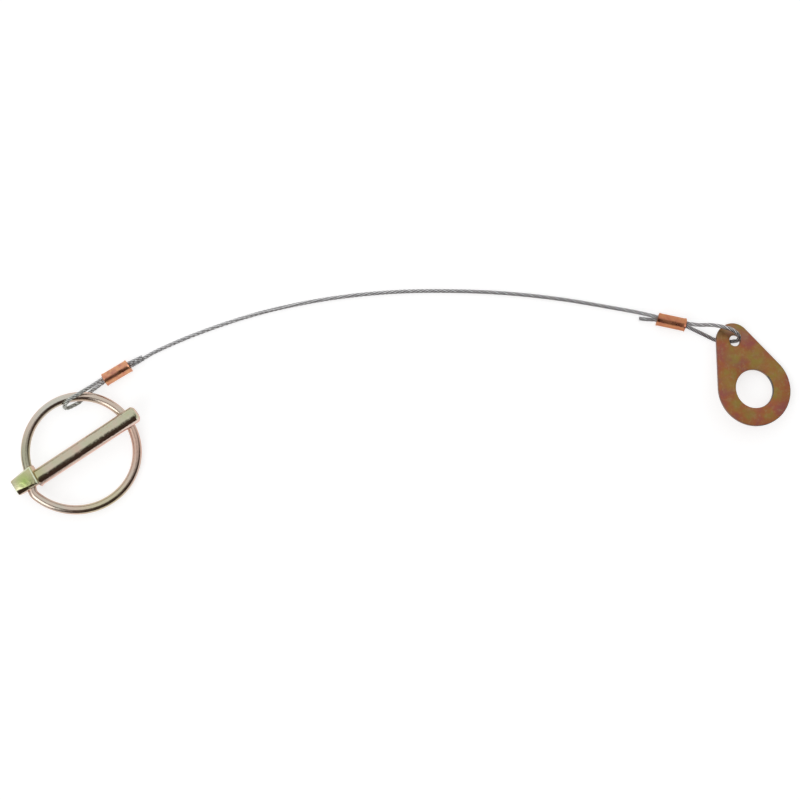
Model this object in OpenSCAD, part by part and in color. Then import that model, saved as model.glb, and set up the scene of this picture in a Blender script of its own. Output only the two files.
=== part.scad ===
// Lynch pin on a wire rope lanyard, lying flat as it comes to rest.
// X runs along the lanyard towards the tab, Z is up and z = 0 is the table.
// The pin and its spring ring are drawn in a plane of their own: x runs along the shank from
// the end of its root, y to its left. The tab is drawn flat, its large hole on the origin.

/* [Pin] */
// Diameter of the shank
shank_d = 6.35; // [6:0.05:6.6]
// Length of the shank below the head
shank_l = 43; // [42:0.5:46]
// Chamfer at the tip
tip_chamfer = 0.9; // [0.3:0.1:1.5]
// Length of the forged head, with its root
head_l = 9.7; // [9:0.1:11]
// Height of the head
head_h = 8.6; // [8:0.1:9]
// How far the head's shoulder slopes back to its top face, at its lower corner
shoulder_draft = 0.85; // [0.5:0.05:1.2]
// Radius on the head's edges
head_edge_r = 0.5; // [0.3:0.1:0.8]
// How much thicker the shank is where its root runs into the head, on the radius
root_flare = 0.3; // [0.1:0.05:0.4]

/* [Spring ring] */
// Diameter of the spring wire
wire_d = 3.4; // [3:0.05:3.5]
// Radius of the ring, to the middle of the wire
ring_r = 20.5; // [20:0.1:21]
// Wider radius of the side that runs to the head's lower hole
wide_r = 23.3; // [22.5:0.1:24]
// Inside bend where that side turns into its hole
elbow_r = 4; // [3:0.1:5]
// Gap at rest between the shank and the wire that crosses under it
tip_gap = 0.86; // [0.8:0.01:1.2]

/* [Wire rope] */
// Diameter of the rope
rope_d = 1.5; // [1.2:0.1:1.5]
// Longest straight step along the rope
rope_step = 5.6; // [4:0.1:8]

/* [Sleeves] */
// Length of a crimped copper sleeve
sleeve_l = 10.7; // [10:0.1:12]
// Radius of a sleeve's large lobe
big_lobe_r = 1.6; // [1.5:0.05:1.7]
// Radius of its small lobe
small_lobe_r = 1.5; // [1.4:0.05:1.6]
// Flare of the sleeve's two rims
rim_flare = 0.15; // [0.05:0.05:0.3]

/* [Tab] */
// Thickness of the tab's plate
tab_t = 1.5; // [1.2:0.1:1.6]
// Radius of the tab's large end
tab_big_r = 13.9; // [13:0.1:15]
// Radius of the tab's small end
tab_small_r = 6.55; // [6:0.05:7]
// Distance between the middles of the tab's two ends
tab_pitch = 19.45; // [19:0.05:20]
// Diameter of the large hole
tab_hole_d = 14.5; // [13:0.1:16]
// Diameter of the rope's hole
eye_d = 4.2; // [4.2:0.1:4.6]

/* [Fits] */
// Clearance around each wire end in its hole in the head, on the radius
hinge_clearance = 0.05; // [0.01:0.01:0.1]
// Clearance around the rope in a sleeve, on the radius
crimp_clearance = 0.05; // [0.02:0.01:0.1]
// Air between the ring and the rope that it lies on
lay_clearance = 0.15; // [0.1:0.05:0.3]

/* [Hidden] */

shank_fn = 96;
ring_fn = 128;
wire_fn = 48;
edge_fn = 24;
rope_sides = 8;
overlap = 1;

shank_r = shank_d / 2;
wire_r = wire_d / 2;
rope_r = rope_d / 2;

// The head is a keystone with bevelled sides: right and left limits at its outer end and at its
// shoulder, on the top and bottom faces and where the upright sides begin.
face_outer = [-0.1, 3.8];
face_shoulder = [-1.85, 4.9];
side_outer = [-2.1, 4.1];
side_shoulder = [-2.5, 5.1];
side_z = 2.9;
left_step = 0.3;
left_draft = 0.2;
hinge_y = 1.1;
root_l = 0.5;

// The ring's main arc, and the wider arc that leaves it tangentially towards the lower hole.
ring_centre = [17.5, -0.95];
wide_from = -78;
wide_centre = ring_centre - (wide_r - ring_r) * polar(wide_from);

// The wire's two ends lie on one oblique line through the head, which is the hinge.
upper_corner = on_arc(ring_centre, ring_r, 5.1);
lower_corner = on_arc(wide_centre, wide_r, -3.9);
hinge_line = unit(upper_corner - lower_corner);
hinge_across = [hinge_line[1], -hinge_line[0]];
hinge = lower_corner + hinge_line * (hinge_y - lower_corner[1]) / hinge_line[1];
hinge_turn = atan2(hinge_line[1], hinge_line[0]);
stub_from = 1.25;
stub_hole_from = 1;
stub_hole_to = 7;
hole_r = wire_r + hinge_clearance;

// The elbow touches the hinge line and the wider arc.
elbow_side = lower_corner + elbow_r * hinge_across - wide_centre;
elbow_back = elbow_side * hinge_line;
elbow_along = -elbow_back - sqrt(pow(elbow_back, 2) - elbow_side * elbow_side + pow(wide_r - elbow_r, 2));
elbow_centre = lower_corner + elbow_along * hinge_line + elbow_r * hinge_across;
elbow_from = hinge_turn + 90;
elbow_to = 360 + bearing(elbow_centre - wide_centre);

// Where one bend of the wire runs into the next. A ball a hair wider than the wire covers each.
wide_start = ring_centre + ring_r * polar(wide_from);
elbow_start = lower_corner + elbow_along * hinge_line;
elbow_end = elbow_centre + elbow_r * polar(elbow_to);
joint_r = 0.03;
seam_turn = 45;

// Where the pin and ring lie. The ring's plane hangs from the hinge, which the head holds up,
// and rests on the rope at one bearing and on the table at another.
hinge_at = [-137.1, -22.2, 4.72];
lie = 33.2;
on_rope = ring_centre + ring_r * polar(53) - hinge;
on_table = ring_centre + ring_r * polar(-34) - hinge;
rise_on_rope = rope_d + lay_clearance + wire_r - hinge_at[2];
rise_on_table = wire_r - hinge_at[2];
cross_area = on_rope[0] * on_table[1] - on_rope[1] * on_table[0];
slope_x = (rise_on_rope * on_table[1] - rise_on_table * on_rope[1]) / cross_area;
slope_y = (on_rope[0] * rise_on_table - on_table[0] * rise_on_rope) / cross_area;
ring_tilt = atan(norm([slope_x, slope_y]));

// The shank rides over the far side of the ring, turned up out of its plane about the hinge.
wire_crossing = [ring_centre[0] + sqrt(pow(ring_r, 2) - pow(ring_centre[1], 2)), 0];
crossing_arm = (wire_crossing - hinge) * hinge_across;
shank_lift = asin((shank_r + wire_r + tip_gap) / crossing_arm);

// The two sleeves: where each lies, and which way it points. Each is rolled onto its small lobe.
lane = 0.88;
sleeve_roll = 50;
lane_across = lane * cos(sleeve_roll);
lane_up = lane * sin(sleeve_roll);
sleeve_z = small_lobe_r + rim_flare + lane_up;
ring_sleeve_at = [-105.4, 17.1, sleeve_z];
ring_sleeve_turn = 30.7;
tab_sleeve_at = [99.6, 35.9, sleeve_z];
tab_sleeve_turn = -12.1;
rim_l = 0.6;
mouth = sleeve_l / 2 + 0.7;

// The tab leans on one straight side, its other side held up by the rope.
tab_at = [129.7, 10.8];
tab_turn = 112.1;
tab_lean = 16.8;
tab_flank = acos((tab_big_r - tab_small_r) / tab_pitch);
eye_at = [tab_pitch - 0.2, -0.45];

// The rope's route, from its cut end beside the ring, in runs that meet in the sleeves' lanes.
ring_lanes = [for (along = [-mouth, mouth], side = [-1, 1])
    in_sleeve(ring_sleeve_at, ring_sleeve_turn, along, side)];
tab_lanes = [for (along = [-mouth, mouth], side = [-1, 1])
    in_sleeve(tab_sleeve_at, tab_sleeve_turn, along, side)];
ring_cut_end = [[-95.9, 22.85, 2.5], [-97.9, 21.9, 2.8], ring_lanes[3]];
ring_eye = [
    ring_lanes[1], [-112.7, 13.3, 3.5], [-114.7, 11.9, 4.6], [-116.6, 10.7, 5.5],
    [-118.5, 9.5, 6.1], [-120.2, 8.5, 6.3], [-121.75, 7.55, 6.45], [-123.15, 6.3, 6.25],
    [-124.25, 4.9, 5.2], [-124.6, 4.3, 3.6], [-124.25, 3.9, 2.2], [-123.1, 4.1, 1.25],
    [-121.5, 4.9, 0.85], [-119.5, 6, 0.8], [-117.2, 8.1, 0.8], [-115, 10.1, 0.8],
    [-112.6, 11.9, 1], ring_lanes[0]
];
long_run = [
    ring_lanes[2], [-97.3, 21.1, 1.25], [-91, 24.9, 0.8], [-76.4, 31.2, 0.8], [-57.4, 37.7, 0.8],
    [-39.2, 42.2, 0.8], [-20.4, 45.3, 0.8], [-0.4, 47, 0.8], [20, 47.2, 0.8], [39.6, 46.3, 0.8],
    [59.6, 44.1, 0.8], [79.2, 40.8, 0.8], [87.1, 39.3, 1.6], tab_lanes[1]
];
tab_eye = [
    tab_lanes[3], [107.8, 34.8, 3.3], [110.4, 34.6, 4], [113.2, 34.6, 4.9], [116, 34.3, 5.7],
    [118.8, 33.7, 6.2], [121.2, 32.9, 6.3], [123.1, 31.7, 5.9], [124.2, 30.4, 5],
    [124.3, 29.4, 4], [123.7, 28.8, 2.9], [122.6, 28.6, 1.9], [121.2, 28.5, 1.15],
    [119.2, 28.5, 0.8], [116.2, 29, 0.8], [111.3, 31.3, 1.2], tab_lanes[2]
];
tab_cut_end = [tab_lanes[0], [90.1, 36.75, 1.5], [87.7, 37.1, 1.4]];
rope_line = [for (run = [ring_cut_end, ring_eye, long_run, tab_eye, tab_cut_end]) each smooth(run)];

function unit(v) = v / norm(v);
function polar(a) = [cos(a), sin(a)];
function bearing(v) = atan2(v[1], v[0]);

// The point on the head's side of an arc where it reaches height y.
function on_arc(centre, r, y) = [centre[0] - sqrt(pow(r, 2) - pow(y - centre[1], 2)), y];

// A point in one of a sleeve's two lanes, the low one (side -1) or the high one (side 1).
function in_sleeve(at, turn, along, side) =
    at + along * [cos(turn), sin(turn), 0]
        + side * [-lane_across * sin(turn), lane_across * cos(turn), lane_up];

// A smooth curve through the points a, b, c and d, taken between b and c.
function between(a, b, c, d, t) =
    (2 * b + (c - a) * t + (2 * a - 5 * b + 4 * c - d) * pow(t, 2)
        + (3 * b - a - 3 * c + d) * pow(t, 3)) / 2;

// A run's points with more between them where they stand far apart.
function smooth(run) = [
    for (i = [0 : len(run) - 2])
        let (steps = ceil(norm(run[i + 1] - run[i]) / rope_step))
            for (k = [0 : steps - 1])
                between(run[max(i - 1, 0)], run[i], run[i + 1], run[min(i + 2, len(run) - 1)], k / steps),
    run[len(run) - 1]
];

// The direction of a line of points at each of them.
function headings(line) = [
    for (i = [0 : len(line) - 1])
        unit(line[min(i + 1, len(line) - 1)] - line[max(i - 1, 0)])
];

// A direction across each heading, carried along the line so that the tube doesn't twist.
function carried(n, heading) = unit(n - (n * heading) * heading);
function sides(headings) = [
    for (i = 0, n = carried([0, 0, 1], headings[0]);
         i < len(headings);
         i = i + 1, n = carried(n, headings[min(i, len(headings) - 1)]))
        n
];

// A tube of flat facets along a line of points.
module tube(line, r, count) {
    ahead = headings(line);
    up = sides(ahead);
    last = len(line) - 1;
    points = [
        for (i = [0 : last], k = [0 : count - 1])
            line[i] + r * (cos(360 * k / count) * up[i] + sin(360 * k / count) * cross(ahead[i], up[i]))
    ];
    walls = [
        for (i = [0 : last - 1], k = [0 : count - 1])
            let (a = i * count + k, b = i * count + (k + 1) % count)
                each [[a, a + count, b], [b, a + count, b + count]]
    ];
    near_cap = [for (k = [0 : count - 1]) k];
    far_cap = [for (k = [count - 1 : -1 : 0]) last * count + k];
    polyhedron(points, concat([near_cap], walls, [far_cap]));
}

// A bent length of spring wire.
module wire_arc(centre, r, from, to) {
    translate([centre[0], centre[1], 0])
        rotate([0, 0, from])
            rotate_extrude(angle = to - from, $fn = ring_fn)
                translate([r, 0])
                    circle(d = wire_d, $fn = wire_fn);
}

// Where two bends meet. Its axis lies along the wire, its seam away from the wire's own.
module ball_joint(at, turn) {
    translate([at[0], at[1], 0])
        rotate([0, 90, turn])
            rotate([0, 0, seam_turn])
                sphere(r = wire_r + joint_r, $fn = wire_fn);
}

// A round bar on the hinge line, between two distances from the hinge.
module on_hinge(from, to, r) {
    translate([hinge[0], hinge[1], 0])
        rotate([0, 90, hinge_turn])
            translate([0, 0, from])
                cylinder(r = r, h = to - from, $fn = wire_fn);
}

// Four rounded corners of the head, the right-hand and left-hand ones mirrored above and below.
module head_corners(along, across, z) {
    for (level = [-z, z]) {
        translate([along[0], across[0] + head_edge_r, level])
            sphere(r = head_edge_r, $fn = edge_fn);
        translate([along[1], across[1] - head_edge_r, level])
            sphere(r = head_edge_r, $fn = edge_fn);
    }
}

module forged_head() {
    outer = head_edge_r - head_l;
    shoulder = -root_l - head_edge_r;
    face_z = head_h / 2 - head_edge_r;
    hull() {
        head_corners([outer, outer + left_step], face_outer, face_z);
        head_corners([shoulder - shoulder_draft, shoulder - left_draft], face_shoulder, face_z);
        head_corners([outer, outer], side_outer, side_z);
        head_corners([shoulder, shoulder], side_shoulder, side_z);
    }
}

// The round shank, chamfered at its tip, with a root that flares into the head.
module shank() {
    root_from = root_l + shoulder_draft;
    rotate([0, 90, 0]) {
        translate([0, 0, -root_from])
            cylinder(r1 = shank_r + root_flare, r2 = shank_r, h = root_from, $fn = shank_fn);
        cylinder(r = shank_r, h = shank_l - tip_chamfer, $fn = shank_fn);
        translate([0, 0, shank_l - tip_chamfer])
            cylinder(r1 = shank_r, r2 = shank_r - tip_chamfer, h = tip_chamfer, $fn = shank_fn);
    }
}

// Takes what is drawn in the ring's own plane to where the ring lies.
module in_ring_plane() {
    translate(hinge_at)
        rotate([0, 0, lie])
            rotate(a = ring_tilt, v = [slope_y, -slope_x, 0])
                translate([-hinge[0], -hinge[1], 0])
                    children();
}

// Turns the pin up about the hinge.
module lifted() {
    translate([hinge[0], hinge[1], 0])
        rotate(a = shank_lift, v = [-hinge_line[0], -hinge_line[1], 0])
            translate([-hinge[0], -hinge[1], 0])
                children();
}

// Forged in one piece, with a blind hole for the ring in each side of the head.
module pin() {
    color([0.66, 0.64, 0.47])
        in_ring_plane()
            lifted()
                difference() {
                    union() {
                        forged_head();
                        shank();
                    }
                    on_hinge(stub_hole_from, stub_hole_to, hole_r);
                    on_hinge(-stub_hole_to, -stub_hole_from, hole_r);
                }
}

// One bent spring wire, its ends sprung into the head.
module ring() {
    upper_l = norm(upper_corner - hinge);
    lower_l = norm(lower_corner - hinge) - elbow_along;
    color([0.72, 0.62, 0.52])
        in_ring_plane() {
            wire_arc(ring_centre, ring_r, wide_from, bearing(upper_corner - ring_centre));
            wire_arc(wide_centre, wide_r, elbow_to - 360, wide_from);
            wire_arc(elbow_centre, elbow_r, elbow_from, elbow_to);
            on_hinge(stub_from, upper_l, wire_r);
            on_hinge(-lower_l, -stub_from, wire_r);
            ball_joint(upper_corner, hinge_turn);
            ball_joint(wide_start, wide_from + 90);
            ball_joint(elbow_start, hinge_turn);
            ball_joint(elbow_end, elbow_to + 90);
        }
}

// The twisted wire rope, with an eye at each end.
module cable() {
    color([0.62, 0.64, 0.65])
        tube(rope_line, rope_r, rope_sides);
}

// One of the sleeve's two lobes, with its flared rims.
module lobe(side, r) {
    translate([0, side, 0])
        rotate([0, 90, 0]) {
            cylinder(r = r, h = sleeve_l, center = true, $fn = wire_fn);
            for (end = [0, 180])
                rotate([end, 0, 0])
                    translate([0, 0, sleeve_l / 2 - rim_l])
                        cylinder(r1 = r, r2 = r + rim_flare, h = rim_l, $fn = wire_fn);
        }
}

// A copper sleeve crimped over the two ropes that pass through it.
module sleeve(at, turn) {
    bore_r = rope_r + crimp_clearance;
    translate(at)
        rotate([0, 0, turn])
            rotate([sleeve_roll, 0, 0])
                difference() {
                    union() {
                        lobe(lane, big_lobe_r);
                        lobe(-lane, small_lobe_r);
                    }
                    for (side = [-lane, lane])
                        translate([0, side, 0])
                            rotate([0, 90, 0])
                                cylinder(r = bore_r, h = sleeve_l + overlap, center = true, $fn = wire_fn);
                }
}

module ferrule_ring_end() {
    color([0.80, 0.47, 0.30])
        sleeve(ring_sleeve_at, ring_sleeve_turn);
}

module ferrule_tab_end() {
    color([0.80, 0.47, 0.30])
        sleeve(tab_sleeve_at, tab_sleeve_turn);
}

// The tab's outline: two arcs and the straight sides that touch both.
module tab_outline() {
    tangents = [for (side = [-1, 1]) [cos(tab_flank), side * sin(tab_flank)]];
    circle(r = tab_big_r, $fn = ring_fn);
    translate([tab_pitch, 0])
        circle(r = tab_small_r, $fn = ring_fn);
    polygon([
        tab_big_r * tangents[0], [tab_pitch, 0] + tab_small_r * tangents[0],
        [tab_pitch, 0] + tab_small_r * tangents[1], tab_big_r * tangents[1]
    ]);
}

// A stamped plate: the large hole goes on the machine, the small one takes the rope.
module tab() {
    color([0.62, 0.42, 0.27])
        translate([tab_at[0], tab_at[1], tab_big_r * sin(tab_lean)])
            rotate([0, 0, tab_turn])
                rotate(a = tab_lean, v = [sin(tab_flank), cos(tab_flank), 0])
                    difference() {
                        linear_extrude(tab_t) tab_outline();
                        translate([0, 0, -overlap])
                            cylinder(d = tab_hole_d, h = tab_t + 2 * overlap, $fn = ring_fn);
                        translate([eye_at[0], eye_at[1], -overlap])
                            cylinder(d = eye_d, h = tab_t + 2 * overlap, $fn = wire_fn);
                    }
}

pin();
ring();
cable();
ferrule_ring_end();
ferrule_tab_end();
tab();
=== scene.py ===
import math

import bmesh
import bpy
from mathutils import Matrix, Vector


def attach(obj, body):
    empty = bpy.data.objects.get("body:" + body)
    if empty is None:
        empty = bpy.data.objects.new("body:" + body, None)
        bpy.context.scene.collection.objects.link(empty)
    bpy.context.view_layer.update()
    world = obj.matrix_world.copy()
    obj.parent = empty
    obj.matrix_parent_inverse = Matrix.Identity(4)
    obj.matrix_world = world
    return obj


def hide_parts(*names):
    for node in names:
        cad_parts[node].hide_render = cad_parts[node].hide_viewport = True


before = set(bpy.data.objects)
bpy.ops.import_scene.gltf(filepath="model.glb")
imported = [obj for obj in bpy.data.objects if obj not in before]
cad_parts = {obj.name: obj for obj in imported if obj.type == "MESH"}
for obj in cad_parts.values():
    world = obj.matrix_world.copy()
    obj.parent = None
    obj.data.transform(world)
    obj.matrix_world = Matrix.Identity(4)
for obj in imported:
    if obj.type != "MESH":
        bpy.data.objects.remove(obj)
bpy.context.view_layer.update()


# ------------------------------------------------------------------------------------------
# The pin. Head and shank are one forging, with a blind hole drilled in each side of the head
# for the ring, then zinc plated and yellow passivated. It is drawn in millimetres in its own
# plane: x along the shank from the head's shoulder, y to its left.
SHANK_R = 3.175
SHANK_L = 43
SHANK_Y = -0.2  # shown 0.2 mm to the right of where the solid has it
TIP_CHAMFER = 0.9
TIP_EDGE = 0.15
HEAD_L = 9.7
HEAD_HALF_W = 3
HEAD_MIDDLE_Y = 1.1
HEAD_RIGHT, HEAD_LEFT = -1.9, 4.1
HEAD_TOP = 4.3
SIDE_TOP = 3.3
HEAD_EDGE = 0.4
ROOT_L = 0.5
ROOT_DEPTH = 1.35  # how far the shank runs into the head
ROOT_FLARE = 0.3
HOLE_R = 1.75
HOLE_FROM, HOLE_TO = 1, 7
WIRE_R = 1.7


def polar(degrees, length=1.0):
    return Vector((math.cos(math.radians(degrees)), math.sin(math.radians(degrees)), 0)) * length


def bearing(v):
    return math.degrees(math.atan2(v.y, v.x))


def on_arc(centre, radius, y):
    return Vector((centre.x - math.sqrt(radius**2 - (y - centre.y) ** 2), y, 0))


# The ring's two arcs, and the oblique line through its two ends, which is the hinge.
RING_R = 20.5
WIDE_R = 23.3
ELBOW_R = 4.0
WIDE_FROM = -78
UPPER_Y, LOWER_Y = 5.1, -3.9
RING_CENTRE = Vector((17.5, -0.95, 0))
WIDE_CENTRE = RING_CENTRE - polar(WIDE_FROM, WIDE_R - RING_R)
UPPER_CORNER = on_arc(RING_CENTRE, RING_R, UPPER_Y)
LOWER_CORNER = on_arc(WIDE_CENTRE, WIDE_R, LOWER_Y)
HINGE_LINE = (UPPER_CORNER - LOWER_CORNER).normalized()
HINGE_ACROSS = Vector((HINGE_LINE.y, -HINGE_LINE.x, 0))
HINGE = LOWER_CORNER + HINGE_LINE * (HEAD_MIDDLE_Y - LOWER_CORNER.y) / HINGE_LINE.y

# Where they lie: the ring hangs from the head and rests on the rope and the table, and the
# shank is turned up about the hinge until it clears the wire that crosses under it.
HINGE_AT = (-137.1, -22.2, 4.72)
LIE = 33.2
ROPE_D = 1.5
LAY_GAP = 0.15
TIP_GAP = 0.86
on_rope = RING_CENTRE + polar(53, RING_R) - HINGE
on_table = RING_CENTRE + polar(-34, RING_R) - HINGE
rise_rope = ROPE_D + LAY_GAP + WIRE_R - HINGE_AT[2]
rise_table = WIRE_R - HINGE_AT[2]
area = on_rope.x * on_table.y - on_rope.y * on_table.x
slope_x = (rise_rope * on_table.y - rise_table * on_rope.y) / area
slope_y = (on_rope.x * rise_table - on_table.x * rise_rope) / area
ring_place = (
    Matrix.Translation(HINGE_AT)
    @ Matrix.Rotation(math.radians(LIE), 4, "Z")
    @ Matrix.Rotation(math.atan(math.hypot(slope_x, slope_y)), 4, Vector((slope_y, -slope_x, 0)))
    @ Matrix.Translation(-HINGE)
)
crossing = Vector((RING_CENTRE.x + math.sqrt(RING_R**2 - RING_CENTRE.y**2), 0, 0))
lift = math.asin((SHANK_R + WIRE_R + TIP_GAP) / (crossing - HINGE).dot(HINGE_ACROSS))
pin_place = (
    ring_place
    @ Matrix.Translation(HINGE)
    @ Matrix.Rotation(lift, 4, -HINGE_LINE)
    @ Matrix.Translation(-HINGE)
)


def choose(test, kind="VERT"):
    """In edit mode, selects the points or faces whose middle and normal pass the test."""
    bpy.ops.mesh.select_mode(type=kind)
    bpy.ops.mesh.select_all(action="DESELECT")
    shape = bmesh.from_edit_mesh(bpy.context.edit_object.data)
    for part in shape.verts if kind == "VERT" else shape.faces:
        middle = part.co if kind == "VERT" else part.calc_center_median()
        if test(middle, part.normal):
            part.select_set(True)
    shape.select_flush(True)
    bmesh.update_edit_mesh(bpy.context.edit_object.data)


def cut_or_join(piece, tool, operation):
    """Joins the tool to the piece, or cuts it out, and takes the tool away."""
    modifier = piece.modifiers.new("shape", "BOOLEAN")
    modifier.operation = operation
    modifier.solver = "EXACT"
    modifier.object = tool
    bpy.context.view_layer.objects.active = piece
    bpy.ops.object.modifier_apply(modifier=modifier.name)
    bpy.data.objects.remove(tool)


def put_in_place(piece, place, angle=35):
    """Takes a piece drawn in millimetres to its place, in metres, and smooths its curves."""
    bpy.ops.object.select_all(action="DESELECT")
    piece.select_set(True)
    bpy.context.view_layer.objects.active = piece
    piece.matrix_world = Matrix.Scale(0.001, 4) @ place
    bpy.ops.object.transform_apply(location=True, rotation=True, scale=True)
    bpy.ops.object.shade_smooth_by_angle(angle=math.radians(angle))


bpy.ops.object.select_all(action="DESELECT")
bpy.ops.mesh.primitive_cube_add(
    size=2,
    location=(-HEAD_L / 2, HEAD_MIDDLE_Y, 0),
    scale=(HEAD_L / 2, HEAD_HALF_W, HEAD_TOP),
)
pin = bpy.context.object
pin.name = "pin_forging"
bpy.ops.object.transform_apply(location=True, rotation=True, scale=True)
bpy.ops.object.mode_set(mode="EDIT")
for level in (-SIDE_TOP, SIDE_TOP):
    bpy.ops.mesh.select_all(action="SELECT")
    bpy.ops.mesh.bisect(plane_co=(0, 0, level), plane_no=(0, 0, 1))

# The keystone: each corner of the block is drawn to its place, on the faces and on the sides.
FACE = {
    (-HEAD_L, HEAD_RIGHT): (-9.7, -0.1),
    (-HEAD_L, HEAD_LEFT): (-9.4, 3.8),
    (0, HEAD_RIGHT): (-1.35, -1.85),
    (0, HEAD_LEFT): (-0.7, 4.9),
}
SIDE = {
    (-HEAD_L, HEAD_RIGHT): (-9.7, -2.1),
    (-HEAD_L, HEAD_LEFT): (-9.7, 4.1),
    (0, HEAD_RIGHT): (-ROOT_L, -2.5),
    (0, HEAD_LEFT): (-ROOT_L, 5.1),
}
for level, corners in ((HEAD_TOP, FACE), (SIDE_TOP, SIDE), (-SIDE_TOP, SIDE), (-HEAD_TOP, FACE)):
    for start, end in corners.items():
        corner = Vector((*start, level))
        choose(lambda at, _: (at - corner).length < 0.01)
        bpy.ops.transform.translate(value=Vector((*end, level)) - corner)
bpy.ops.mesh.select_mode(type="EDGE")
bpy.ops.mesh.select_all(action="DESELECT")
bpy.ops.mesh.edges_select_sharp(sharpness=math.radians(8))
bpy.ops.mesh.bevel(offset=HEAD_EDGE, segments=4, affect="EDGES")
bpy.ops.object.mode_set(mode="OBJECT")

# The shank, turned round with a chamfered tip whose edges are broken, and its flared root.
bpy.ops.object.select_all(action="DESELECT")
bpy.ops.mesh.primitive_cylinder_add(
    vertices=96,
    radius=SHANK_R,
    depth=SHANK_L + ROOT_DEPTH,
    location=((SHANK_L - ROOT_DEPTH) / 2, SHANK_Y, 0),
    rotation=(0, math.pi / 2, 0),
)
shank = bpy.context.object
bpy.ops.object.transform_apply(location=True, rotation=True, scale=True)
bpy.ops.object.mode_set(mode="EDIT")
choose(lambda at, normal: normal.x > 0.9, "FACE")
bpy.ops.mesh.bevel(offset=TIP_CHAMFER, segments=1, affect="EDGES")
choose(lambda at, normal: normal.x > 0.9, "FACE")
bpy.ops.mesh.bevel(offset=TIP_EDGE, segments=2, affect="EDGES")
for at_x in (-0.9, -0.4, 0):
    bpy.ops.mesh.select_all(action="SELECT")
    bpy.ops.mesh.bisect(plane_co=(at_x, 0, 0), plane_no=(1, 0, 0))
for at_x in (-ROOT_DEPTH, -0.9, -0.4):
    choose(lambda at, _: abs(at.x - at_x) < 0.01)
    flared = 1 + ROOT_FLARE / SHANK_R * (at_x / -ROOT_DEPTH) ** 1.4
    bpy.ops.transform.resize(value=(1, flared, flared), center_override=(at_x, SHANK_Y, 0))
bpy.ops.object.mode_set(mode="OBJECT")
cut_or_join(pin, shank, "UNION")

for near, far in ((HOLE_FROM, HOLE_TO), (-HOLE_TO, -HOLE_FROM)):
    bpy.ops.object.select_all(action="DESELECT")
    bpy.ops.mesh.primitive_cylinder_add(vertices=64, radius=HOLE_R, depth=far - near)
    drill = bpy.context.object
    drill.matrix_world = (
        Matrix.Translation(HINGE + HINGE_LINE * (near + far) / 2)
        @ Matrix.Rotation(math.radians(bearing(HINGE_LINE)), 4, "Z")
        @ Matrix.Rotation(math.pi / 2, 4, "Y")
    )
    bpy.context.view_layer.update()
    cut_or_join(pin, drill, "DIFFERENCE")

# The head's edges are painted bright, a painted highlight: they are the points that touch no large
# face.
large = {corner for face in pin.data.polygons if face.area > 1.5 for corner in face.vertices}
edge_highlight = pin.data.attributes.new("edge_highlight", "FLOAT", "POINT")
edges = [
    v.co.z > 4
    and (v.co.x > -2.4 or v.co.y < -1.5 - 0.21 * (v.co.x + 1.35))
    and v.index not in large
    for v in pin.data.vertices
]
edge_highlight.data.foreach_set("value", [float(edge) for edge in edges])
put_in_place(pin, pin_place)


def add(tree, kind, inputs=(), **settings):
    """A node with its settings, and its inputs either set or linked, by name or number."""
    made = tree.nodes.new(kind)
    for name, value in settings.items():
        setattr(made, name, value)
    for name, value in dict(inputs).items():
        if isinstance(value, bpy.types.NodeSocket):
            tree.links.new(value, made.inputs[name])
        else:
            made.inputs[name].default_value = value
    return made


def new_finish(name, **sockets):
    """A material with its shader, and numbers set on the shader's own sockets."""
    finish = bpy.data.materials.new(name)
    finish.use_nodes = True
    shader = finish.node_tree.nodes["Principled BSDF"]
    for socket, value in sockets.items():
        shader.inputs[socket.replace("_", " ")].default_value = value
    return finish, finish.node_tree, shader


def mottle(tree, scale, detail=3, shift=(0, 0, 0)):
    """Clouds of a plating, scale a metre, on the piece's own coordinates."""
    place = add(tree, "ShaderNodeTexCoord").outputs["Object"]
    mapped = add(tree, "ShaderNodeMapping", {"Vector": place, "Location": shift})
    return add(
        tree,
        "ShaderNodeTexNoise",
        {"Vector": mapped.outputs[0], "Scale": scale, "Detail": detail, "Roughness": 0.6},
    ).outputs["Fac"]


def grade(tree, value, stops):
    """Colours along a value."""
    ramp = add(tree, "ShaderNodeValToRGB", {"Fac": value})
    band = ramp.color_ramp
    while len(band.elements) < len(stops):
        band.elements.new(0.5)
    for element, (position, colour) in zip(band.elements, stops):
        element.position = position
        element.color = (*colour, 1)
    return ramp.outputs["Color"]


def mixed(tree, factor, first, second, kind="MIX"):
    """Two colours mixed, and a factor that is a number or a node's value."""
    mix = tree.nodes.new("ShaderNodeMix")
    mix.data_type = "RGBA"
    mix.blend_type = kind
    for number, value in ((0, factor), (6, first), (7, second)):
        if isinstance(value, bpy.types.NodeSocket):
            tree.links.new(value, mix.inputs[number])
        else:
            mix.inputs[number].default_value = value if number == 0 else (*value, 1)
    return mix.outputs[2]


def span(tree, value, low, high, out_low=0.0, out_high=1.0):
    """A value's range drawn out to another range."""
    return add(
        tree,
        "ShaderNodeMapRange",
        {"Value": value, "From Min": low, "From Max": high, "To Min": out_low, "To Max": out_high},
    ).outputs[0]


def near_to(tree, x, y, z, near, far):
    """1 within near millimetres of a place on the piece, 0 beyond far."""
    place = add(tree, "ShaderNodeTexCoord").outputs["Object"]
    at = (x / 1000, y / 1000, z / 1000)
    apart = add(tree, "ShaderNodeVectorMath", {0: place, 1: at}, operation="DISTANCE")
    return span(tree, apart.outputs["Value"], near / 1000, far / 1000, 1, 0)


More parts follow.
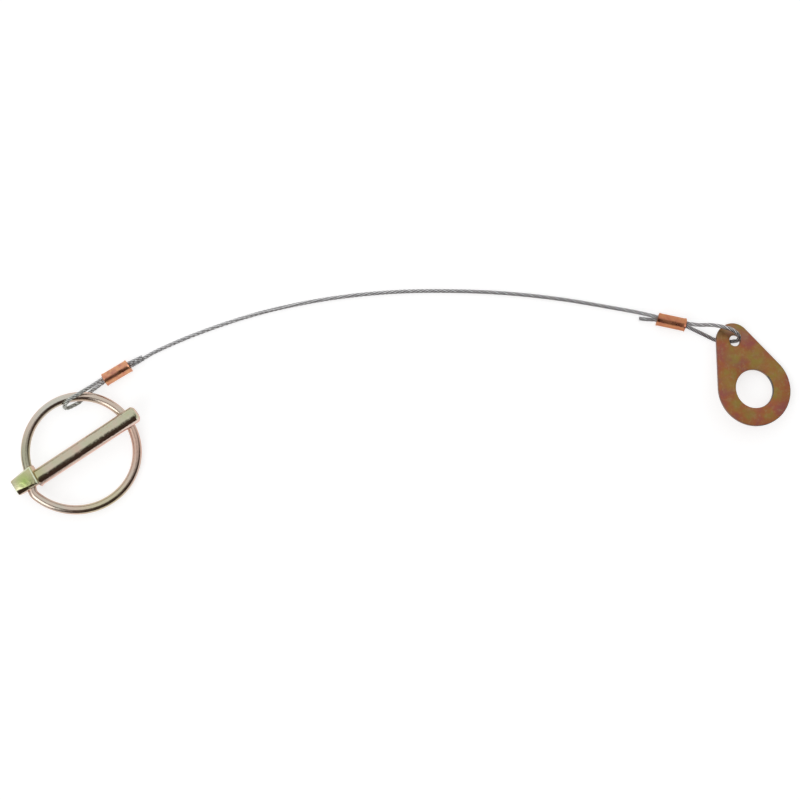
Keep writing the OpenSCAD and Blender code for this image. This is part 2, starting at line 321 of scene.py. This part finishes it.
def rough_skin(tree, shader, low, high, scale, height, fine, strength=0.35):
    """Roughness that varies in patches, and the fine unevenness of plated metal."""
    patches = mottle(tree, scale, 4, shift=(3, 1, 2))
    tree.links.new(span(tree, patches, 0.3, 0.7, low, high), shader.inputs["Roughness"])
    unevenness = {"Height": mottle(tree, fine, 3), "Strength": strength, "Distance": height}
    bump = add(tree, "ShaderNodeBump", unevenness)
    tree.links.new(bump.outputs[0], shader.inputs["Normal"])


pin_zinc, tree, shader = new_finish("pin_zinc", Metallic=1.0, Specular_Tint=(1.0, 0.74, 0.70, 1))
khaki_film = [
    (0.3, (0.48, 0.49, 0.33)),
    (0.5, (0.53, 0.50, 0.38)),
    (0.62, (0.56, 0.49, 0.38)),
    (0.75, (0.60, 0.45, 0.36)),
]
khaki = grade(tree, mottle(tree, 130, 3), khaki_film)
specks = span(tree, mottle(tree, 900, 2, shift=(5, 5, 5)), 0.62, 0.75)
khaki = mixed(tree, specks, khaki, (0.56, 0.38, 0.24))
# The film is greener in the middle of the head's top. The head's edges get a painted highlight,
# and the shank's left side a painted pink sheen.
khaki = mixed(tree, near_to(tree, -137.5, -21.5, 9, 4, 8), khaki, (0.50, 0.49, 0.29))
khaki = mixed(tree, near_to(tree, -138.6, -22.9, 9, 0.2, 3.6), khaki, (0.36, 0.47, 0.15))
edge_highlight = add(tree, "ShaderNodeAttribute", attribute_name="edge_highlight").outputs["Fac"]
khaki = mixed(tree, edge_highlight, khaki, (0.80, 0.88, 0.64))
place = add(tree, "ShaderNodeTexCoord").outputs["Object"]
across_shank = add(tree, "ShaderNodeVectorMath", {0: place, 1: polar(-57)}, operation="DOT_PRODUCT")
flank_sheen = span(tree, across_shank.outputs["Value"], -0.0535, -0.0522)
khaki = mixed(tree, flank_sheen, khaki, (0.74, 0.58, 0.51))
tree.links.new(khaki, shader.inputs["Base Color"])
tree.links.new(span(tree, edge_highlight, 0, 1, 1, 0.3), shader.inputs["Metallic"])
rough_skin(tree, shader, 0.12, 0.24, 260, 0.0003, 700, 0.32)
pin.data.materials.append(pin_zinc)
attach(pin, "pin")
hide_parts("pin")


# ------------------------------------------------------------------------------------------
# The ring. One length of spring wire, coiled to two radii, with an elbow and two stubs that
# are sprung into the holes in the head. It is plated and passivated as the pin is.
ELBOW_SIDE = LOWER_CORNER + ELBOW_R * HINGE_ACROSS - WIDE_CENTRE
elbow_back = ELBOW_SIDE.dot(HINGE_LINE)
elbow_reach = elbow_back**2 - ELBOW_SIDE.length_squared + (WIDE_R - ELBOW_R) ** 2
elbow_along = -elbow_back - math.sqrt(elbow_reach)
ELBOW_CENTRE = LOWER_CORNER + elbow_along * HINGE_LINE + ELBOW_R * HINGE_ACROSS
HINGE_TURN = bearing(HINGE_LINE)
STUB_FROM = 1.25
WIRE_SIDES = 32

main_sweep = bearing(UPPER_CORNER - RING_CENTRE) - WIDE_FROM
elbow_bearing = bearing(ELBOW_CENTRE - WIDE_CENTRE)
wide_sweep = WIDE_FROM - elbow_bearing
elbow_sweep = elbow_bearing + 360 - (HINGE_TURN + 90)

bpy.ops.object.select_all(action="DESELECT")
bpy.ops.mesh.primitive_circle_add(vertices=WIRE_SIDES, radius=WIRE_R)
ring = bpy.context.object
ring.name = "spring_ring"
ring.matrix_world = (
    Matrix.Translation(HINGE + HINGE_LINE * STUB_FROM)
    @ Matrix.Rotation(math.radians(HINGE_TURN), 4, "Z")
    @ Matrix.Rotation(math.pi / 2, 4, "Y")
)
bpy.ops.object.transform_apply(location=True, rotation=True, scale=True)
bpy.ops.object.mode_set(mode="EDIT")
bpy.ops.mesh.select_mode(type="VERT")
bpy.ops.mesh.select_all(action="SELECT")
to_corner = UPPER_CORNER - (HINGE + HINGE_LINE * STUB_FROM)
bpy.ops.mesh.extrude_region_move(TRANSFORM_OT_translate={"value": to_corner})
for centre, sweep, steps in (
    (RING_CENTRE, main_sweep, 120),
    (WIDE_CENTRE, wide_sweep, 44),
    (ELBOW_CENTRE, elbow_sweep, 10),
):
    bpy.ops.mesh.spin(steps=steps, angle=math.radians(sweep), center=centre, axis=(0, 0, 1))
elbow_start = LOWER_CORNER + elbow_along * HINGE_LINE
to_end = (HINGE - HINGE_LINE * STUB_FROM) - elbow_start
bpy.ops.mesh.extrude_region_move(TRANSFORM_OT_translate={"value": to_end})
bpy.ops.mesh.select_all(action="SELECT")
bpy.ops.mesh.remove_doubles(threshold=0.001)
bpy.ops.mesh.fill_holes(sides=WIRE_SIDES)
bpy.ops.mesh.normals_make_consistent(inside=False)
bpy.ops.object.mode_set(mode="OBJECT")
put_in_place(ring, ring_place, 50)

ring_zinc, tree, shader = new_finish("ring_zinc", Metallic=1.0, Specular_Tint=(1.0, 0.70, 0.62, 1))
tan_film = [
    (0.3, (0.61, 0.46, 0.38)),
    (0.5, (0.59, 0.49, 0.41)),
    (0.65, (0.56, 0.50, 0.42)),
    (0.8, (0.52, 0.50, 0.42)),
]
tan = grade(tree, mottle(tree, 110, 2, shift=(1, 0, 0)), tan_film)
# The film's tint drifts round the ring, and by the head the wire is painted dark, a painted shadow.
tan = mixed(tree, near_to(tree, -97.5, -9, 3, 4, 12), tan, (0.59, 0.42, 0.34))
tan = mixed(tree, near_to(tree, -109, -31, 2, 5, 13), tan, (0.55, 0.50, 0.35))
tan = mixed(tree, near_to(tree, -139, -14, 5, 3, 11), tan, (0.42, 0.41, 0.30))
tan = mixed(tree, near_to(tree, -128.6, 5.4, 5, 4, 13), tan, (0.57, 0.55, 0.48))
tan = mixed(tree, near_to(tree, -131.5, -25.5, 4, 1, 4.5), tan, (0.42, 0.25, 0.20))
tree.links.new(tan, shader.inputs["Base Color"])
rough_skin(tree, shader, 0.14, 0.26, 300, 0.00006, 900)
ring.data.materials.append(ring_zinc)
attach(ring, "ring")
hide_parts("ring")


# ------------------------------------------------------------------------------------------
# The rope. Galvanised steel, six strands of six wires laid right-handed around a core. It is
# doubled back at each end to make an eye, one round the ring and one through the tab's hole.
ROPE_R = ROPE_D / 2
ROPE_LAY = 9.6
STRANDS = 6
STRAND_R = 0.25
STRAND_LAY = 5.2
WIRES = 6
CORE_WIRES = 3
VALLEY = 0.86  # how far out a strand stands between its wires, as a part of its radius
ROPE_STEP = 0.36
LANE = 0.88
SLEEVE_L = 10.7
MOUTH = SLEEVE_L / 2 + 0.7
ROLL = math.radians(50)
LOW_LANE_Z = 1.65
SLEEVE_Z = LOW_LANE_Z + LANE * math.sin(ROLL)
RING_SLEEVE = (Vector((-105.4, 17.1, SLEEVE_Z)), 30.7)
TAB_SLEEVE = (Vector((99.6, 35.9, SLEEVE_Z)), -12.1)


def in_sleeve(sleeve, along, side):
    """A point in a sleeve's low lane (side -1) or its high one (side 1)."""
    at, turn = sleeve
    across = polar(turn + 90, LANE * math.cos(ROLL)) + Vector((0, 0, LANE * math.sin(ROLL)))
    return at + polar(turn, along) + across * side


ring_lanes = [in_sleeve(RING_SLEEVE, along, side) for along in (-MOUTH, MOUTH) for side in (-1, 1)]
tab_lanes = [in_sleeve(TAB_SLEEVE, along, side) for along in (-MOUTH, MOUTH) for side in (-1, 1)]
ring_cut_end = [(-95.9, 22.85, 2.5), (-97.9, 21.9, 2.8), ring_lanes[3]]
ring_eye = [
    ring_lanes[1], (-112.7, 13.3, 3.5), (-114.7, 11.9, 4.6), (-116.6, 10.7, 5.5),
    (-118.5, 9.5, 6.1), (-120.2, 8.5, 6.3), (-121.75, 7.55, 6.45), (-123.15, 6.3, 6.25),
    (-124.25, 4.9, 5.2), (-124.6, 4.3, 3.6), (-124.25, 3.9, 2.2), (-123.1, 4.1, 1.25),
    (-121.5, 4.9, 0.85), (-119.5, 6, 0.8), (-117.2, 8.1, 0.8), (-115, 10.1, 0.8),
    (-112.6, 11.9, 1), ring_lanes[0],
]
long_run = [
    ring_lanes[2], (-97.3, 21.1, 1.25), (-91, 24.9, 0.8), (-76.4, 31.2, 0.8), (-57.4, 37.7, 0.8),
    (-39.2, 42.2, 0.8), (-20.4, 45.3, 0.8), (-0.4, 47, 0.8), (20, 47.2, 0.8), (39.6, 46.3, 0.8),
    (59.6, 44.1, 0.8), (79.2, 40.8, 0.8), (87.1, 39.3, 1.6), tab_lanes[1],
]
tab_eye = [
    tab_lanes[3], (107.8, 34.8, 3.3), (110.4, 34.6, 4), (113.2, 34.6, 4.9), (116, 34.3, 5.7),
    (118.8, 33.7, 6.2), (121.2, 32.9, 6.3), (123.1, 31.7, 5.9), (124.2, 30.4, 5),
    (124.3, 29.4, 4), (123.7, 28.8, 2.9), (122.6, 28.6, 1.9), (121.2, 28.5, 1.15),
    (119.2, 28.5, 0.8), (116.2, 29, 0.8), (111.3, 31.3, 1.2), tab_lanes[2],
]
tab_cut_end = [tab_lanes[0], (90.1, 36.75, 1.5), (87.7, 37.1, 1.4)]


def smooth_run(points, step):
    """A smooth curve through a run's points, in equal parts no longer than a step."""
    points = [Vector(p) for p in points]
    line = []
    for i in range(len(points) - 1):
        a, b = points[max(i - 1, 0)], points[i]
        c, d = points[i + 1], points[min(i + 2, len(points) - 1)]
        parts = math.ceil((c - b).length / step)
        for t in (k / parts for k in range(parts)):
            bend = (2 * a - 5 * b + 4 * c - d) * t**2 + (3 * b - a - 3 * c + d) * t**3
            line.append((2 * b + (c - a) * t + bend) / 2)
    return line + [points[-1]]


rope_line = []
for run in (ring_cut_end, ring_eye, long_run, tab_eye, tab_cut_end):
    # From one run's end to the next the rope is straight, inside a sleeve.
    run_line = smooth_run(run, ROPE_STEP)
    if rope_line:
        gap = run_line[0] - rope_line[-1]
        parts = math.ceil(gap.length / ROPE_STEP)
        rope_line += [rope_line[-1] + gap * k / parts for k in range(1, parts)]
    rope_line += run_line

# The line's length so far, its direction, and a direction across it that doesn't twist.
travelled, ahead, across = [0.0], [], []
for i, point in enumerate(rope_line):
    if i:
        travelled.append(travelled[-1] + (point - rope_line[i - 1]).length)
    before, after = rope_line[max(i - 1, 0)], rope_line[min(i + 1, len(rope_line) - 1)]
    ahead.append((after - before).normalized())
    carried = across[-1] if across else Vector((0, 0, 1))
    across.append((carried - ahead[-1] * carried.dot(ahead[-1])).normalized())


def strand(bundle, groove, line, out, side, radius, wires, turns):
    """Adds one strand: its wires show as ridges that turn round it."""
    corners = 2 * wires
    first = len(bundle[0])
    for i, at in enumerate(line):
        for k in range(corners):
            angle = 2 * math.pi * (k / corners) + turns[i]
            reach = radius if k % 2 == 0 else radius * VALLEY
            off = out[i] * math.cos(angle) + side[i] * math.sin(angle)
            bundle[0].append(at + off * reach)
            groove.append((at + off * reach - rope_line[i]).length)
    for i in range(len(line) - 1):
        for k in range(corners):
            a, b = first + i * corners + k, first + i * corners + (k + 1) % corners
            bundle[1].append((a, b, b + corners, a + corners))
    bundle[1].append(tuple(first + k for k in reversed(range(corners))))
    last = first + (len(line) - 1) * corners
    bundle[1].append(tuple(last + k for k in range(corners)))


bundle, groove = ([], []), []
for number in range(STRANDS):
    angles = [2 * math.pi * (s / ROPE_LAY + number / STRANDS) for s in travelled]
    middle, out, side = [], [], []
    for i, point in enumerate(rope_line):
        around = ahead[i].cross(across[i])
        outward = across[i] * math.cos(angles[i]) + around * math.sin(angles[i])
        middle.append(point + outward * (ROPE_R - STRAND_R))
        out.append(outward)
        side.append(ahead[i].cross(outward))
    turns = [-2 * math.pi * s / STRAND_LAY for s in travelled]
    strand(bundle, groove, middle, out, side, STRAND_R, WIRES, turns)
beside = [a.cross(b) for a, b in zip(ahead, across)]
strand(bundle, groove, rope_line, across, beside, STRAND_R, CORE_WIRES, [0] * len(rope_line))
rope_mesh = bpy.data.meshes.new("wire_rope")
rope_mesh.from_pydata(bundle[0], [], bundle[1])
depth = rope_mesh.attributes.new("groove", "FLOAT", "POINT")
depth.data.foreach_set("value", [min(max((ROPE_R - g) / 0.3, 0), 1) for g in groove])
# Every second strand is dull.
a_strand = 2 * WIRES * len(rope_line)
dull = rope_mesh.attributes.new("dull", "FLOAT", "POINT")
dull.data.foreach_set("value", [float(k // a_strand % 2) for k in range(len(groove))])
rope = bpy.data.objects.new("wire_rope", rope_mesh)
bpy.context.scene.collection.objects.link(rope)
put_in_place(rope, Matrix.Identity(4), 60)

galvanised, tree, shader = new_finish("galvanised_rope", Metallic=0.65, Roughness=0.34)
deep = add(tree, "ShaderNodeAttribute", attribute_name="groove").outputs["Fac"]
grey_zinc = [(0.3, (0.68, 0.69, 0.71)), (0.5, (0.82, 0.83, 0.84)), (0.72, (0.94, 0.94, 0.95))]
grey = grade(tree, mottle(tree, 400, 3), grey_zinc)
# The zinc is duller at the eyes, and darker at two places near the tab.
grey = mixed(tree, near_to(tree, -122, 5, 4, 4, 12), grey, (0.66, 0.70, 0.64))
grey = mixed(tree, near_to(tree, 117, 34, 5, 6, 13), grey, (0.86, 0.83, 0.83))
grey = mixed(tree, near_to(tree, 112, 31, 1, 2, 6), grey, (0.36, 0.29, 0.28))
grey = mixed(tree, near_to(tree, 124, 29, 3, 1, 5), grey, (0.34, 0.31, 0.30))
place = add(tree, "ShaderNodeTexCoord").outputs["Object"]
along_rope = add(tree, "ShaderNodeSeparateXYZ", {0: place}).outputs[0]
towards_tab = span(tree, along_rope, -0.06, 0.05)
dull = add(tree, "ShaderNodeAttribute", attribute_name="dull").outputs["Fac"]
dull = add(tree, "ShaderNodeMath", {0: dull, 1: towards_tab}, operation="MULTIPLY").outputs[0]
grey = mixed(tree, dull, grey, (0.54, 0.52, 0.52))
# The grooves between the strands are painted dark, a painted shade, deeper towards the tab.
groove_shade = mixed(tree, towards_tab, (0.26, 0.25, 0.25), (0.09, 0.085, 0.085))
grey = mixed(tree, span(tree, deep, 0.1, 0.36), grey, groove_shade)
tree.links.new(grey, shader.inputs["Base Color"])
rope.data.materials.append(galvanised)
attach(rope, "lanyard")
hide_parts("cable")


# ------------------------------------------------------------------------------------------
# The two sleeves. Each is a short copper tube, threaded over the rope and its doubled-back
# end and pressed round both, which leaves two lobes with a crease between and belled rims.
# Both lie rolled onto the smaller lobe.
ROUND = 72
OUTSIDE = (-5.35, -5.3, -5.15, -4.75, -4.3, -3, -1.5, 0, 1.5, 3, 4.3, 4.75, 5.15, 5.3, 5.35)
INSIDE = (5.35, 5.2, 4.7, 3, 0, -3, -4.7, -5.2, -5.35)
LOBES = ((0.62, 0.31, 2.0), (-1.14, 0.31, 1.55))  # where each lobe's middle is, and its radius
BORES = ((LANE, 0, 0.85), (-LANE, 0, 0.85))
LOBE_CREASE, BORE_CREASE = 9, 14
BELL, BELL_FROM, BELL_OVER = 0.2, 4.75, 0.6
BORE_BELL, BORE_BELL_FROM, BORE_BELL_OVER = 0.3, 4.7, 0.65
RIM_EDGE, RIM_EDGE_FROM = 0.06, 5.34
DRAWN_BACK = 0.09


def lobed(angle, lobes, sharp):
    """How far the pressed wall stands from the middle, in a direction across the sleeve."""
    c, s = math.cos(angle), math.sin(angle)
    reach = 0
    for y, z, radius in lobes:
        inside = radius**2 - (y * s - z * c) ** 2
        if inside > 0:
            reach += max(y * c + z * s + math.sqrt(inside), 0.05) ** sharp
    return reach ** (1 / sharp)


bpy.ops.object.select_all(action="DESELECT")
bpy.ops.mesh.primitive_circle_add(vertices=ROUND, radius=1.5)
pressed = bpy.context.object
bpy.ops.object.mode_set(mode="EDIT")
bpy.ops.mesh.select_mode(type="VERT")
bpy.ops.mesh.select_all(action="SELECT")
rows = len(OUTSIDE) + len(INSIDE)
for row in range(rows - 1):
    bpy.ops.mesh.extrude_region_move(TRANSFORM_OT_translate={"value": (0, 0, 1)})
choose(lambda at, _: at.z < 0.5 or at.z > rows - 1.5)
bpy.ops.mesh.bridge_edge_loops()
bpy.ops.object.mode_set(mode="OBJECT")
for vertex in pressed.data.vertices:
    row, step = divmod(vertex.index, ROUND)
    angle = 2 * math.pi * step / ROUND
    drawn_back = 1 - DRAWN_BACK * max(0, math.cos(angle + ROLL)) ** 4
    if row < len(OUTSIDE):
        along = OUTSIDE[row]
        bell = BELL * max(0, (abs(along) - BELL_FROM) / BELL_OVER) ** 1.5
        edge = RIM_EDGE if abs(along) > RIM_EDGE_FROM else 0.0
        reach = lobed(angle, LOBES, LOBE_CREASE) + bell - edge
    else:
        along = INSIDE[row - len(OUTSIDE)]
        bell = BORE_BELL * max(0, (abs(along) - BORE_BELL_FROM) / BORE_BELL_OVER) ** 2
        reach = lobed(angle, BORES, BORE_CREASE) + bell
    vertex.co = (along * drawn_back, reach * math.cos(angle), reach * math.sin(angle))
bpy.ops.object.mode_set(mode="EDIT")
bpy.ops.mesh.select_all(action="SELECT")
bpy.ops.mesh.normals_make_consistent(inside=False)
bpy.ops.object.mode_set(mode="OBJECT")

copper, tree, shader = new_finish("copper", Metallic=1.0, Specular_Tint=(1.0, 0.75, 0.6, 1))
warm_copper = [
    (0.3, (0.58, 0.23, 0.14)),
    (0.45, (0.66, 0.31, 0.20)),
    (0.6, (0.70, 0.36, 0.19)),
    (0.75, (0.70, 0.41, 0.28)),
]
warm = grade(tree, mottle(tree, 420, 3), warm_copper)
stains = span(tree, mottle(tree, 260, 2, shift=(2, 0, 4)), 0.55, 0.75)
warm = mixed(tree, stains, warm, (0.42, 0.17, 0.14))
# The sleeve at the tab has tarnished a little more.
at_tab = near_to(tree, 99.6, 35.9, 2.5, 6.5, 8)
warm = mixed(tree, at_tab, warm, (0.76, 0.64, 0.56), "MULTIPLY")
tree.links.new(warm, shader.inputs["Base Color"])
rough_skin(tree, shader, 0.22, 0.4, 500, 0.00015, 900, 0.6)

for name, (at, turn), node in (
    ("sleeve_at_ring", RING_SLEEVE, "ferrule_ring_end"),
    ("sleeve_at_tab", TAB_SLEEVE, "ferrule_tab_end"),
):
    sleeve = bpy.data.objects.new(name, pressed.data.copy())
    bpy.context.scene.collection.objects.link(sleeve)
    rolled = Matrix.Rotation(math.radians(turn), 4, "Z") @ Matrix.Rotation(ROLL, 4, "X")
    put_in_place(sleeve, Matrix.Translation(at) @ rolled, 40)
    sleeve.data.materials.append(copper)
    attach(sleeve, "lanyard")
    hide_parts(node)
bpy.data.objects.remove(pressed)


# ------------------------------------------------------------------------------------------
# The tab. A teardrop blanked from 1.5 mm sheet, which rounds its upper edges, with a large
# hole for the machine's bolt and a small one for the rope, and a yellow dichromate finish.
TAB_T = 1.5
TAB_EDGE = 0.16
TAB_BIG_R = 13.9
TAB_SMALL_R = 6.55
TAB_PITCH = 19.45
TAB_X, TAB_Y = 129.7, 10.8
TAB_TURN = math.radians(112.1)
TAB_LEAN = math.radians(16.8)
LARGE_HOLE_R = 7.25
ROPE_HOLE_R = 2.1
FLANK = math.acos((TAB_BIG_R - TAB_SMALL_R) / TAB_PITCH)
tab_place = (
    Matrix.Translation((TAB_X, TAB_Y, TAB_BIG_R * math.sin(TAB_LEAN)))
    @ Matrix.Rotation(TAB_TURN, 4, "Z")
    @ Matrix.Rotation(TAB_LEAN, 4, Vector((math.sin(FLANK), math.cos(FLANK), 0)))
)


def arc(x, y, radius, start, end, steps):
    turns = [start + (end - start) * k / steps for k in range(steps + 1)]
    return [(x + radius * math.cos(a), y + radius * math.sin(a)) for a in turns]


blank = bpy.data.curves.new("tab_blank", "CURVE")
blank.dimensions = "2D"
blank.fill_mode = "BOTH"
blank.extrude = TAB_T / 2 - TAB_EDGE
blank.bevel_depth = TAB_EDGE
blank.bevel_resolution = 2
blank.offset = -TAB_EDGE
outline = arc(0, 0, TAB_BIG_R, FLANK, 2 * math.pi - FLANK, 96)
outline += arc(TAB_PITCH, 0, TAB_SMALL_R, -FLANK, FLANK, 48)
large_hole = arc(0, 0, LARGE_HOLE_R, 0, 2 * math.pi, 96)[:-1]
rope_hole = arc(TAB_PITCH - 0.2, -0.45, ROPE_HOLE_R, 0, 2 * math.pi, 48)[:-1]
for points in (outline, large_hole, rope_hole):
    spline = blank.splines.new("POLY")
    spline.points.add(len(points) - 1)
    for point, (x, y) in zip(spline.points, points):
        point.co = (x, y, 0, 1)
    spline.use_cyclic_u = True
tab = bpy.data.objects.new("tab_plate", blank)
bpy.context.scene.collection.objects.link(tab)
bpy.ops.object.select_all(action="DESELECT")
tab.select_set(True)
bpy.context.view_layer.objects.active = tab
bpy.ops.object.convert(target="MESH")
tab = bpy.context.object
bpy.ops.object.mode_set(mode="EDIT")
bpy.ops.mesh.select_all(action="SELECT")
bpy.ops.mesh.remove_doubles(threshold=0.001)
bpy.ops.mesh.normals_make_consistent(inside=False)
bpy.ops.transform.translate(value=(0, 0, TAB_T / 2))
bpy.ops.object.mode_set(mode="OBJECT")

# The shear-cut edge is darker than the faces. On one side it is darker still, a painted shade.
sheared_and_shaded = tab.data.attributes.new("sheared_and_shaded", "FLOAT", "POINT")
edge_tone_and_shade = [
    (1.0 if v.co.dot(polar(-125)) > 4 else 0.35) * (0.01 < v.co.z < TAB_T - 0.01)
    for v in tab.data.vertices
]
sheared_and_shaded.data.foreach_set("value", edge_tone_and_shade)
put_in_place(tab, tab_place, 40)

tab_zinc, tree, shader = new_finish("tab_zinc", Metallic=0.65)
dichromate = [
    (0.34, (0.29, 0.08, 0.065)),
    (0.45, (0.33, 0.10, 0.04)),
    (0.54, (0.32, 0.13, 0.035)),
    (0.66, (0.27, 0.18, 0.035)),
]
film = grade(tree, mottle(tree, 150, 4, shift=(0.4, 0.1, 0)), dichromate)
# The film's colour wanders from place to place on the tab; by the small hole it holds a painted
# shade of the rope.
patch_breakup = span(tree, mottle(tree, 320, 4, shift=(7, 2, 1)), 0.32, 0.62, 0.25, 0.95)
OLIVE, PINK = (0.27, 0.215, 0.04), (0.30, 0.09, 0.07)
ROPE_SHADE, DARK = (0.27, 0.18, 0.16), (0.17, 0.13, 0.06)
FILM_Z = 4
for x, y, near, far, colour in (
    (118.8, 12.3, 1, 6.5, OLIVE),
    (121.5, 4.5, 1, 5, OLIVE),
    (122.2, 22.4, 1, 5, OLIVE),
    (131, 22, 2, 6, OLIVE),
    (138.5, 16.5, 1, 5, OLIVE),
    (117.7, 31.5, 0, 3.5, DARK),
    (128.8, 1.2, 0, 5, PINK),
    (140.5, 3.8, 0, 5, PINK),
    (118.0, 24.5, 0, 4, PINK),
    (122, 32.8, 0, 4, ROPE_SHADE),
    (126.5, 31, 0, 4, ROPE_SHADE),
):
    where = near_to(tree, x, y, FILM_Z, near, far)
    patch = add(tree, "ShaderNodeMath", {0: where, 1: patch_breakup}, operation="MULTIPLY")
    film = mixed(tree, patch.outputs[0], film, colour)
grain = span(tree, mottle(tree, 750, 3, shift=(4, 4, 0)), 0.5, 0.75, 0, 0.6)
film = mixed(tree, grain, film, (0.34, 0.22, 0.10))
# The shear-cut edge is darkened, and fully on one side as painted shade.
sheared_and_shaded = add(tree, "ShaderNodeAttribute", attribute_name="sheared_and_shaded").outputs["Fac"]
film = mixed(tree, sheared_and_shaded, film, (0.08, 0.065, 0.06))
tree.links.new(film, shader.inputs["Base Color"])
rough_skin(tree, shader, 0.3, 0.42, 500, 0.00004, 1600)
tab.data.materials.append(tab_zinc)
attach(tab, "tab")
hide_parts("tab")


# ------------------------------------------------------------------------------------------
# The table. A plain white sheet, laid flat, that runs far out under the object. It is lifted
# to a near white where it is seen, and keeps the object's soft shadow.
bpy.ops.object.select_all(action="DESELECT")
bpy.ops.mesh.primitive_plane_add(size=12, location=(0, 0, 0))
floor = bpy.context.object
floor.name = "floor"
white = bpy.data.materials.new("white_sheet")
white.use_nodes = True
tree = white.node_tree
tree.nodes.clear()
paper = add(tree, "ShaderNodeBsdfDiffuse", {"Color": (0.45, 0.45, 0.45, 1)})
rays = add(tree, "ShaderNodeLightPath")
seen = rays.outputs["Is Camera Ray"]
for kind in ("Is Glossy Ray", "Is Transmission Ray"):
    pair = {0: seen, 1: rays.outputs[kind]}
    seen = add(tree, "ShaderNodeMath", pair, operation="MAXIMUM").outputs[0]
brightness = add(tree, "ShaderNodeMath", {0: seen, 1: 0.70}, operation="MULTIPLY").outputs[0]
glow = add(tree, "ShaderNodeEmission", {"Color": (1, 1, 1, 1), "Strength": brightness})
both = add(tree, "ShaderNodeAddShader", {0: paper.outputs[0], 1: glow.outputs[0]})
add(tree, "ShaderNodeOutputMaterial", {"Surface": both.outputs[0]})
floor.data.materials.append(white)


# ------------------------------------------------------------------------------------------
# The studio: an even white tent, with a dark side towards the lower right that metal shows,
# and one soft lamp from the lower left.
world = bpy.data.worlds.new("tent")
bpy.context.scene.world = world
world.use_nodes = True
tree = world.node_tree
tree.nodes.clear()


def vector_math(operation, *values):
    """A step of the tent's sums on directions."""
    step = add(tree, "ShaderNodeVectorMath", dict(enumerate(values)), operation=operation)
    return step.outputs["Value" if operation == "DOT_PRODUCT" else "Vector"]


def number_math(operation, *values, **settings):
    """A step of the tent's sums on numbers."""
    step = add(tree, "ShaderNodeMath", dict(enumerate(values)), operation=operation, **settings)
    return step.outputs[0]


direction = add(tree, "ShaderNodeTexCoord").outputs["Generated"]
axes = add(tree, "ShaderNodeSeparateXYZ", {0: direction})
height = axes.outputs[2]
level = add(tree, "ShaderNodeCombineXYZ", {"X": axes.outputs[0], "Y": axes.outputs[1], "Z": 0.0})
level = level.outputs[0]

# The dark side starts a little past the zenith, so that flat tops stay light.
past_zenith = vector_math("NORMALIZE", vector_math("ADD", level, (0.105, 0.01, 0)))
low_down = number_math("SUBTRACT", 0.4, height, use_clamp=True)
to_right = number_math("ADD", vector_math("DOT_PRODUCT", past_zenith, polar(-12)), low_down)
to_front = vector_math("DOT_PRODUCT", past_zenith, polar(-90))
to_front = number_math("MULTIPLY_ADD", height, -0.9, to_front)
right_edge = span(tree, to_right, -0.05, 0.15)
front_edge = span(tree, to_front, -0.9, -0.3)
over = span(tree, height, -0.02, 0.03)
dark_side = number_math("MULTIPLY", over, number_math("MULTIPLY", right_edge, front_edge))
tent = mixed(tree, dark_side, (0.95, 0.95, 0.95), (0.06, 0.036, 0.03))

# A dark gap below the lamp, which the metal shows as a narrow band.
towards_lamp = vector_math("DOT_PRODUCT", vector_math("NORMALIZE", level), polar(-138))
low_sector = span(tree, towards_lamp, 0.75, 0.85)
below_lamp = span(tree, height, 0.42, 0.3)
gap = number_math("MULTIPLY", low_sector, below_lamp)
tent = mixed(tree, gap, tent, (0.08, 0.05, 0.045))
rays = add(tree, "ShaderNodeLightPath")
tent = mixed(tree, rays.outputs["Is Camera Ray"], tent, (1, 1, 1))
sky = add(tree, "ShaderNodeBackground", {"Color": tent, "Strength": 1.0})
add(tree, "ShaderNodeOutputWorld", {"Surface": sky.outputs[0]})

lamp_data = bpy.data.lights.new("soft_lamp", "AREA")
lamp_data.shape = "RECTANGLE"
lamp_data.size, lamp_data.size_y = 0.5, 1.1
lamp_data.energy = 2.9
lamp = bpy.data.objects.new("soft_lamp", lamp_data)
bpy.context.scene.collection.objects.link(lamp)
lamp.location = Vector((-0.12, 0, 0.8)) + polar(235, 0.86)
lamp.rotation_mode = "QUATERNION"
lamp.rotation_quaternion = (lamp.location - Vector((-0.05, 0, 0))).to_track_quat("Z", "Y")


# ------------------------------------------------------------------------------------------
# The camera looks straight down from a metre above the table, through a long lens that takes
# in 296 mm of it. Colours are shown with no film look.
HALF_VIEW = 0.14815
camera_data = bpy.data.cameras.new("camera")
camera_data.sensor_width = 36
camera_data.lens = camera_data.sensor_width / 2 / HALF_VIEW
camera_data.clip_start, camera_data.clip_end = 0.01, 50
camera = bpy.data.objects.new("camera", camera_data)
bpy.context.scene.collection.objects.link(camera)
camera.location = (-0.000696, 0.006904, 1.0)
camera.rotation_euler = (0, 0, 0)
bpy.context.scene.camera = camera
bpy.context.scene.view_settings.view_transform = "Standard"
